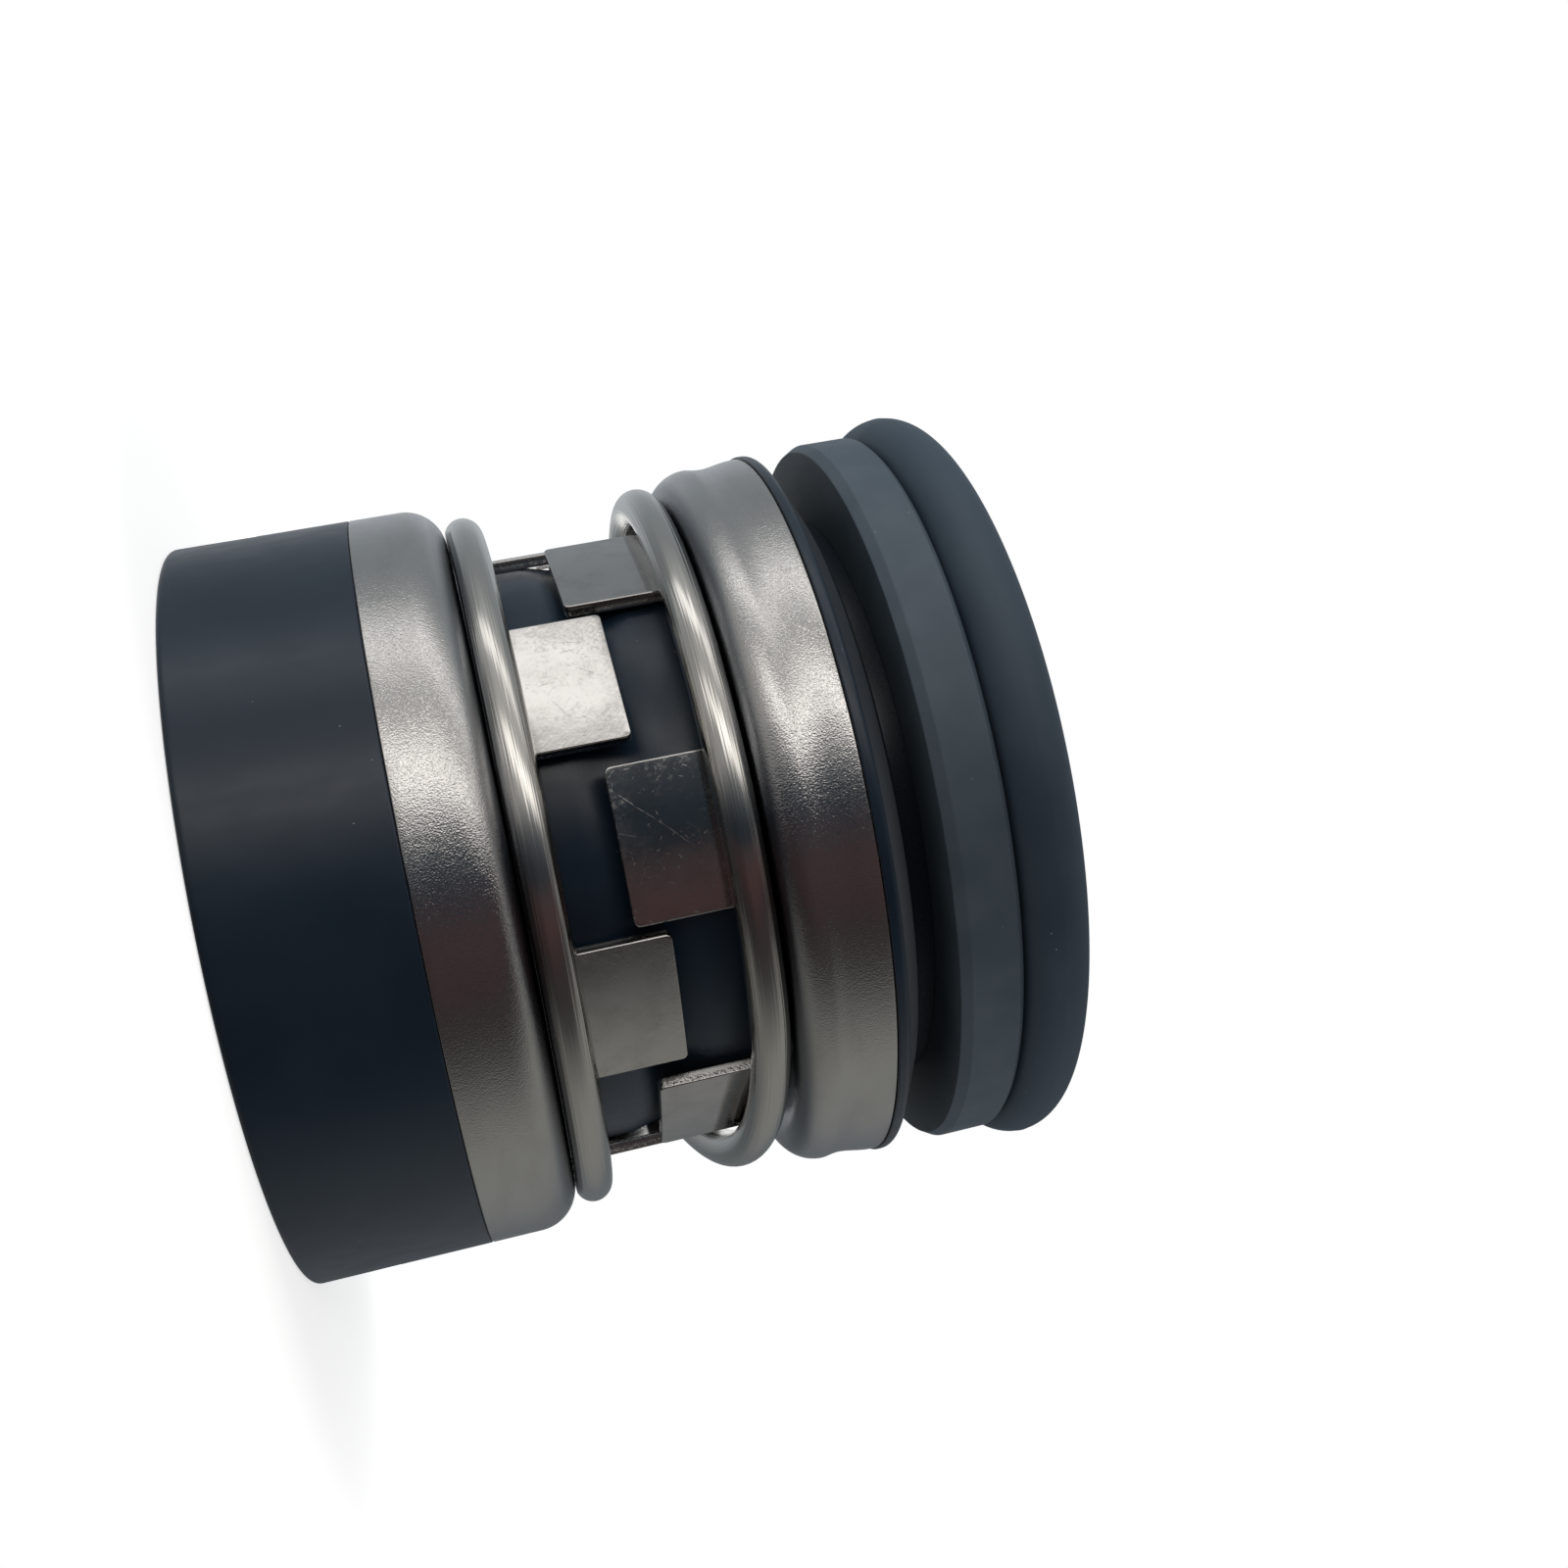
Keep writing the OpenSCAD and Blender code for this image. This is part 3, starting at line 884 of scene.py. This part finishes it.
def tab_steel():
    """The tabs' smooth rolled face, with a mottle, hair scratches and dull rubbed patches."""
    m = Nodes("tab_steel")
    cloud = m.noise(scale=0.8)
    mottle = m.noise(scale=5.0, detail=4.0)
    near_edge = m.add("ShaderNodeAttribute", attribute_name="edge_wear").outputs["Fac"]
    worn = m.times(m.spread(m.noise(scale=1.0, detail=3.0), 0.3, 0.6, 0.2, 1.0), near_edge)
    brushed = m.times(m.noise(scale=5.0, stretch=(1, 1, 0.12), turn=(35, 35, 0)), worn)
    short = m.scratches(scale=1.8, width=0.04, reach=0.4, share=0.7)
    fine = m.scratches(scale=0.9, width=0.03, reach=0.8, share=0.45)
    marks = m.math("MAXIMUM", m.times(short, scratched_side(m)), m.times(fine, 0.5))
    marks = m.math("MAXIMUM", marks, long_scratch(m))
    normal = m.bump(cloud, depth=0.006)
    normal = m.bump(mottle, depth=0.0018, after=normal)
    normal = m.bump(brushed, depth=0.012, after=normal)
    normal = m.bump(marks, depth=-0.003, after=normal)
    patches = m.spread(m.noise(scale=0.4), 0.35, 0.6)
    rubbed = m.times(m.spread(m.noise(scale=3.0, detail=6.0), 0.48, 0.64), patches)
    scuffed = m.math("ADD", m.times(marks, 0.25), m.times(worn, 0.14))
    scuffed = m.math("MULTIPLY_ADD", rubbed, 0.14, scuffed)
    rough = m.math("ADD", m.spread(mottle, 0.35, 0.7, 0.05, 0.11), scuffed)
    stain = m.spread(m.noise(scale=0.45, detail=4.0), 0.4, 0.7)
    stain = m.times(stain, m.spread(mottle, 0.3, 0.6, 0.5, 1.0))
    return m.finish(m.mix(stain, STEEL_FRESH, STEEL_STAINED), rough, normal, Metallic=1.0)


def sheared_steel():
    """The torn part of a sheared edge. It is coarse on one side, and elsewhere painted dark as a
    painted dark reflection.
    """
    m = Nodes("sheared_steel")
    x, _, _ = m.split(m.place)
    coarse_and_bright = m.spread(x, COARSE_BRIGHT_FROM, COARSE_BRIGHT_FULL, 0.01, 1.0)
    tear = m.noise(scale=5.0, detail=3.0)
    normal = m.bump(m.times(tear, coarse_and_bright), depth=0.12)
    # Away from the coarse side the torn strip is painted dark, as a painted dark reflection
    colour = m.mix(coarse_and_bright, TORN_PAINTED_DARK, STEEL)
    return m.finish(colour, m.spread(tear, 0.3, 0.7, 0.16, 0.3), normal, Metallic=1.0)


def wire_steel():
    """Bright drawn wire with die marks along its length."""
    m = Nodes("wire_steel")
    unrolled = m.add("ShaderNodeAttribute", attribute_name="unrolled").outputs["Vector"]
    marks = m.noise(scale=6.0, stretch=(1, 1, 0.012), place=unrolled)
    broad = m.noise(scale=1.3, stretch=(1, 1, 0.02), place=unrolled)
    cloud = m.noise(scale=0.5, stretch=(1, 1, 0.3), place=unrolled)
    nicks = m.specks(scale=0.8, size=0.07, share=0.25)
    normal = m.bump(broad, depth=0.06)
    normal = m.bump(marks, depth=0.045, after=normal)
    normal = m.bump(nicks, depth=-0.01, after=normal)
    rough = m.math("ADD", m.spread(cloud, 0.3, 0.7, 0.10, 0.16), m.times(marks, 0.05))
    return m.finish(WIRE_STEEL, rough, normal, Metallic=1.0)


def bellows_rubber():
    """Smooth moulded rubber with a few specks of dust."""
    m = Nodes("bellows_rubber")
    cloud = m.noise(scale=0.13)
    haze = m.noise(scale=0.7, detail=3.0, stretch=(1, 1, 0.5))
    grain = m.noise(scale=9.0)
    dust = m.specks(scale=0.8, size=0.045, share=0.2)
    colour = m.mix(m.spread(cloud, 0.35, 0.7), RUBBER, RUBBER_GREY)
    colour = m.mix(m.times(dust, 0.7), colour, DUST)
    normal = m.bump(haze, depth=0.004)
    normal = m.bump(grain, depth=0.002, after=normal)
    rough = m.spread(haze, 0.3, 0.7, 0.30, 0.36)
    return m.finish(colour, rough, normal, Sheen_Weight=0.10, Sheen_Roughness=0.45)


def o_ring_rubber():
    """Matt moulded rubber, a little greyer than the bellows."""
    m = Nodes("o_ring_rubber")
    cloud = m.noise(scale=0.2, detail=3.0)
    grain = m.noise(scale=8.0, detail=3.0)
    dust = m.specks(scale=0.9, size=0.05, share=0.2)
    colour = m.mix(dust, m.mix(m.spread(cloud, 0.3, 0.75), O_RING, O_RING_GREY), DUST)
    rough = m.spread(cloud, 0.3, 0.7, 0.5, 0.62)
    return m.finish(colour, rough, m.bump(grain, depth=0.006))


def sealing_carbon():
    """Fine-grained carbon with faint turning lines."""
    m = Nodes("sealing_carbon")
    lines = m.noise(scale=9.0, stretch=(0.01, 0.01, 1))
    grain = m.noise(scale=12.0)
    normal = m.bump(lines, depth=0.003)
    normal = m.bump(grain, depth=0.002, after=normal)
    return m.finish(CARBON, m.spread(grain, 0.3, 0.7, 0.26, 0.36), normal)


def seat_carbide():
    """Matt ground carbide with a fine even grain and a few lighter specks."""
    m = Nodes("seat_carbide")
    cloud = m.noise(scale=0.25)
    grain = m.noise(scale=11.0, detail=3.0)
    lines = m.noise(scale=7.0, stretch=(0.01, 0.01, 1))
    dust = m.specks(scale=0.9, size=0.06, share=0.2)
    colour = m.mix(m.spread(cloud, 0.3, 0.75), CARBIDE, CARBIDE_LIGHT)
    colour = m.mix(m.times(dust, 0.5), colour, DUST)
    normal = m.bump(grain, depth=0.006)
    normal = m.bump(lines, depth=0.004, after=normal)
    return m.finish(colour, m.spread(grain, 0.3, 0.7, 0.5, 0.62), normal)


# Studio

# The ring of light round the seal's axis, as (azimuth in degrees, radiance): a pale ceiling,
# the dark side where the camera stands, with a faint warm glow below it, and a grey table
STUDIO_RING = (
    (-180, (0.43, 0.45, 0.46)), (-172, (0.50, 0.50, 0.50)), (-148, (0.50, 0.50, 0.49)),
    (-112, (0.52, 0.51, 0.50)), (-105, (0.22, 0.225, 0.23)), (-99, (0.070, 0.080, 0.092)),
    (-89, (0.026, 0.036, 0.048)), (-83, (0.024, 0.031, 0.040)), (-79.5, (0.066, 0.052, 0.055)),
    (-71, (0.080, 0.047, 0.047)), (-56, (0.048, 0.034, 0.036)), (-42, (0.046, 0.042, 0.044)),
    (-34, (0.066, 0.066, 0.066)), (-24, (0.144, 0.142, 0.137)), (-8, (0.25, 0.248, 0.235)),
    (2, (0.275, 0.278, 0.258)), (28, (0.262, 0.264, 0.257)), (40, (0.225, 0.230, 0.236)),
    (54, (0.155, 0.17, 0.18)), (70, (0.15, 0.165, 0.175)), (108, (0.50, 0.53, 0.56)),
    (120, (0.42, 0.45, 0.48)), (132, (0.33, 0.36, 0.39)), (146, (0.27, 0.30, 0.32)),
    (164, (0.275, 0.295, 0.31)), (176, (0.36, 0.38, 0.385)), (180, (0.43, 0.45, 0.46)),
)
# Light bars in that ring, as (azimuth, half width, radiance). They lean, and they have soft edges
LIGHT_BARS = ((-164.0, 7.0, (1.0, 0.98, 0.95)), (-122.5, 7.5, (1.42, 1.36, 1.30)))
BAR_LEAN = 20.0
BAR_CURVE = -12.0
BAR_EDGE = 0.5
# How the ring and the bars dim, as (height, height, level at the first, level at the second),
# where the heights are sines of elevation
RING_FOOT = (-0.7, -0.1, 0.68, 1.0)
BAR_FOOT = (-0.75, -0.1, 0.08, 1.0)
BAR_TOP = (0.3, 0.95, 1.0, 0.6)
# Light round the poles, as (side, radiance, elevations where it starts and is full)
POLES = ((1, (0.23, 0.23, 0.23), 58.0, 74.0), (-1, (0.03, 0.034, 0.04), 64.0, 84.0))
# The camera sees the backdrop all round, and its mirrored rays see it close to straight behind
# the seal, from the first y of their direction on, and in full from the second
BACKDROP = (1.0, 1.0, 1.0)
BACKDROP_EDGE = 0.975
BACKDROP_FULL = 0.995


def studio_world():
    """The studio as light from each direction, with a white backdrop."""
    world = bpy.data.worlds.new("studio")
    bpy.context.scene.world = world
    world.use_nodes = True
    world.node_tree.nodes.clear()
    w = Tree(world.node_tree)
    x, y, z = w.split(w.add("ShaderNodeTexCoord").outputs["Generated"])
    azimuth = w.times(w.math("ARCTAN2", y, x), 180 / pi)

    ring = w.add("ShaderNodeValToRGB")
    stops = ring.color_ramp.elements
    while len(stops) < len(STUDIO_RING):
        stops.new(0.5)
    for stop, (degrees, colour) in zip(stops, STUDIO_RING):
        stop.position = (degrees + 180) / 360
        stop.color = (*colour, 1)
    w.put(ring.inputs[0], w.math("MULTIPLY_ADD", azimuth, 1 / 360, 0.5))
    studio = w.scaled(ring.outputs["Color"], w.spread(z, *RING_FOOT))

    fade = w.times(w.spread(z, *BAR_FOOT), w.spread(z, *BAR_TOP))
    lean = w.times(z, w.math("MULTIPLY_ADD", z, BAR_CURVE, BAR_LEAN))
    leaned = w.math("SUBTRACT", azimuth, lean)
    for centre, half_width, colour in LIGHT_BARS:
        away = w.math("WRAP", w.math("SUBTRACT", leaned, centre), 180.0, -180.0)
        outside, inside = half_width * (1 + BAR_EDGE), half_width * (1 - BAR_EDGE)
        bar = w.spread(w.math("ABSOLUTE", away), outside, inside)
        studio = w.vector("ADD", studio, w.scaled(colour, w.times(bar, fade)))
    for side, colour, start, full in POLES:
        near_pole = w.spread(w.times(z, side), sin(radians(start)), sin(radians(full)))
        studio = w.mix(near_pole, studio, (*colour, 1))

    seen = w.add("ShaderNodeLightPath").outputs
    mirrored = w.math("MAXIMUM", seen["Is Glossy Ray"], seen["Is Transmission Ray"])
    behind = w.times(mirrored, w.spread(y, BACKDROP_EDGE, BACKDROP_FULL))
    white = w.math("MAXIMUM", seen["Is Camera Ray"], behind)
    background = w.add("ShaderNodeBackground")
    w.put(background.inputs["Color"], w.mix(white, studio, (*BACKDROP, 1)))
    w.put(w.add("ShaderNodeOutputWorld").inputs["Surface"], background.outputs[0])


FLOOR_R = 75.0
FLOOR_DROP = 0.02
FLOOR_SEGMENTS = 128
FLOOR_COLOUR = (0.8, 0.8, 0.8, 1)
# The floor's own glow, and the share of its radius from which it rises to the backdrop's white
FLOOR_GLOW = 0.62
FLOOR_GLOW_SHARE = 0.45


def floor_material():
    """A pale floor that the camera sees white, with the object's soft shadow on it."""
    material = bpy.data.materials.new("pale_floor")
    material.use_nodes = True
    material.node_tree.nodes.clear()
    t = Tree(material.node_tree)
    diffuse = t.add("ShaderNodeBsdfDiffuse")
    t.put(diffuse.inputs["Color"], FLOOR_COLOUR)
    length = t.add("ShaderNodeVectorMath", operation="LENGTH")
    t.put(length.inputs[0], t.add("ShaderNodeTexCoord").outputs["Object"])
    start, end = FLOOR_R * FLOOR_GLOW_SHARE * MM, FLOOR_R * MM
    level = t.spread(length.outputs["Value"], start, end, FLOOR_GLOW, 1.0)
    seen = t.add("ShaderNodeLightPath").outputs["Is Camera Ray"]
    glow = t.add("ShaderNodeEmission")
    t.put(glow.inputs["Strength"], t.times(seen, level))
    both = t.add("ShaderNodeAddShader")
    t.put(both.inputs[0], diffuse.outputs[0])
    t.put(both.inputs[1], glow.outputs[0])
    t.put(t.add("ShaderNodeOutputMaterial").inputs["Surface"], both.outputs[0])
    return material


def add_floor():
    bpy.ops.mesh.primitive_circle_add(
        vertices=FLOOR_SEGMENTS, radius=FLOOR_R * MM, fill_type="TRIFAN",
        location=(0, 0, -FLOOR_DROP * MM))
    floor = bpy.context.object
    floor.name = "pale_floor"
    floor.data.materials.append(floor_material())
    floor.visible_glossy = False


def toward(azimuth, elevation):
    """Unit vector toward an azimuth and an elevation in degrees."""
    azimuth, elevation = radians(azimuth), radians(elevation)
    level = cos(elevation)
    return Vector((cos(azimuth) * level, sin(azimuth) * level, sin(elevation)))


SOFT_LIGHT_SIZE = 340.0
SOFT_LIGHT_DISTANCE = 500.0
SOFT_LIGHT_AIM_Z = 30.0


def add_soft_light(name, azimuth, elevation, level):
    """A broad soft light. It lights matt surfaces and leaves no image in the metal."""
    size = SOFT_LIGHT_SIZE * MM
    distance = SOFT_LIGHT_DISTANCE * MM
    direction = toward(azimuth, elevation)
    data = bpy.data.lights.new(name, "AREA")
    data.size = size
    solid_angle = size ** 2 / distance ** 2
    data.energy = level * pi / solid_angle * pi * size ** 2
    light = bpy.data.objects.new(name, data)
    light.location = direction * distance + Vector((0, 0, SOFT_LIGHT_AIM_Z * MM))
    light.rotation_euler = direction.to_track_quat("Z", "Y").to_euler()
    light.visible_glossy = False
    bpy.context.scene.collection.objects.link(light)


# The camera's place and aim, from a perspective fit of the head's circles in the photograph
CAMERA_AT = (-3.09, -136.29, 18.05)
CAMERA_AZIMUTH = 89.460
CAMERA_ELEVATION = 10.126
CAMERA_ROLL = 78.639
CAMERA_LENS = 39.312
CAMERA_SENSOR = 36.0
CAMERA_CLIP = 5.0


def add_camera():
    data = bpy.data.cameras.new("camera")
    data.sensor_width = CAMERA_SENSOR
    data.lens = CAMERA_LENS
    data.clip_start = CAMERA_CLIP * MM
    place = Matrix.Translation(Vector(CAMERA_AT) * MM)
    forward = toward(CAMERA_AZIMUTH, CAMERA_ELEVATION)
    level = forward.to_track_quat("-Z", "Y").to_matrix().to_4x4()
    camera = bpy.data.objects.new("camera", data)
    camera.matrix_world = place @ level @ Matrix.Rotation(radians(CAMERA_ROLL), 4, "Z")
    bpy.context.scene.collection.objects.link(camera)
    bpy.context.scene.camera = camera


# Assembly

def dress(piece, node, slot, *materials):
    """Give a piece its materials, and hide the imported node it stands for."""
    for material in materials:
        piece.data.materials.append(material)
    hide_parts(node)
    return piece


def build():
    steel = (satin_steel(), tab_steel(), sheared_steel())
    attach(dress(drive_band(), "drive_band", "stamped_steel", *steel), "drive_unit")
    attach(dress(retainer(), "retainer", "stamped_steel", *steel), "head")
    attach(dress(primary_ring(), "primary_ring", "sealing_carbon", sealing_carbon()), "head")
    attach(dress(seat_ring(), "seat_ring", "seat_carbide", seat_carbide()), "seat")
    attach(dress(seat_o_ring(), "seat_o_ring", "o_ring_rubber", o_ring_rubber()), "seat")
    rubber = dress(bellows(), "bellows", "bellows_rubber", bellows_rubber())
    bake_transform(rubber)
    coil = dress(spring(), "spring", "spring_wire", wire_steel())
    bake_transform(coil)


build()
studio_world()
add_floor()
add_soft_light("key_light", azimuth=-168, elevation=18, level=0.45)
add_soft_light("fill_light", azimuth=0, elevation=15, level=0.42)
add_camera()
bpy.context.scene.view_settings.view_transform = "Standard"
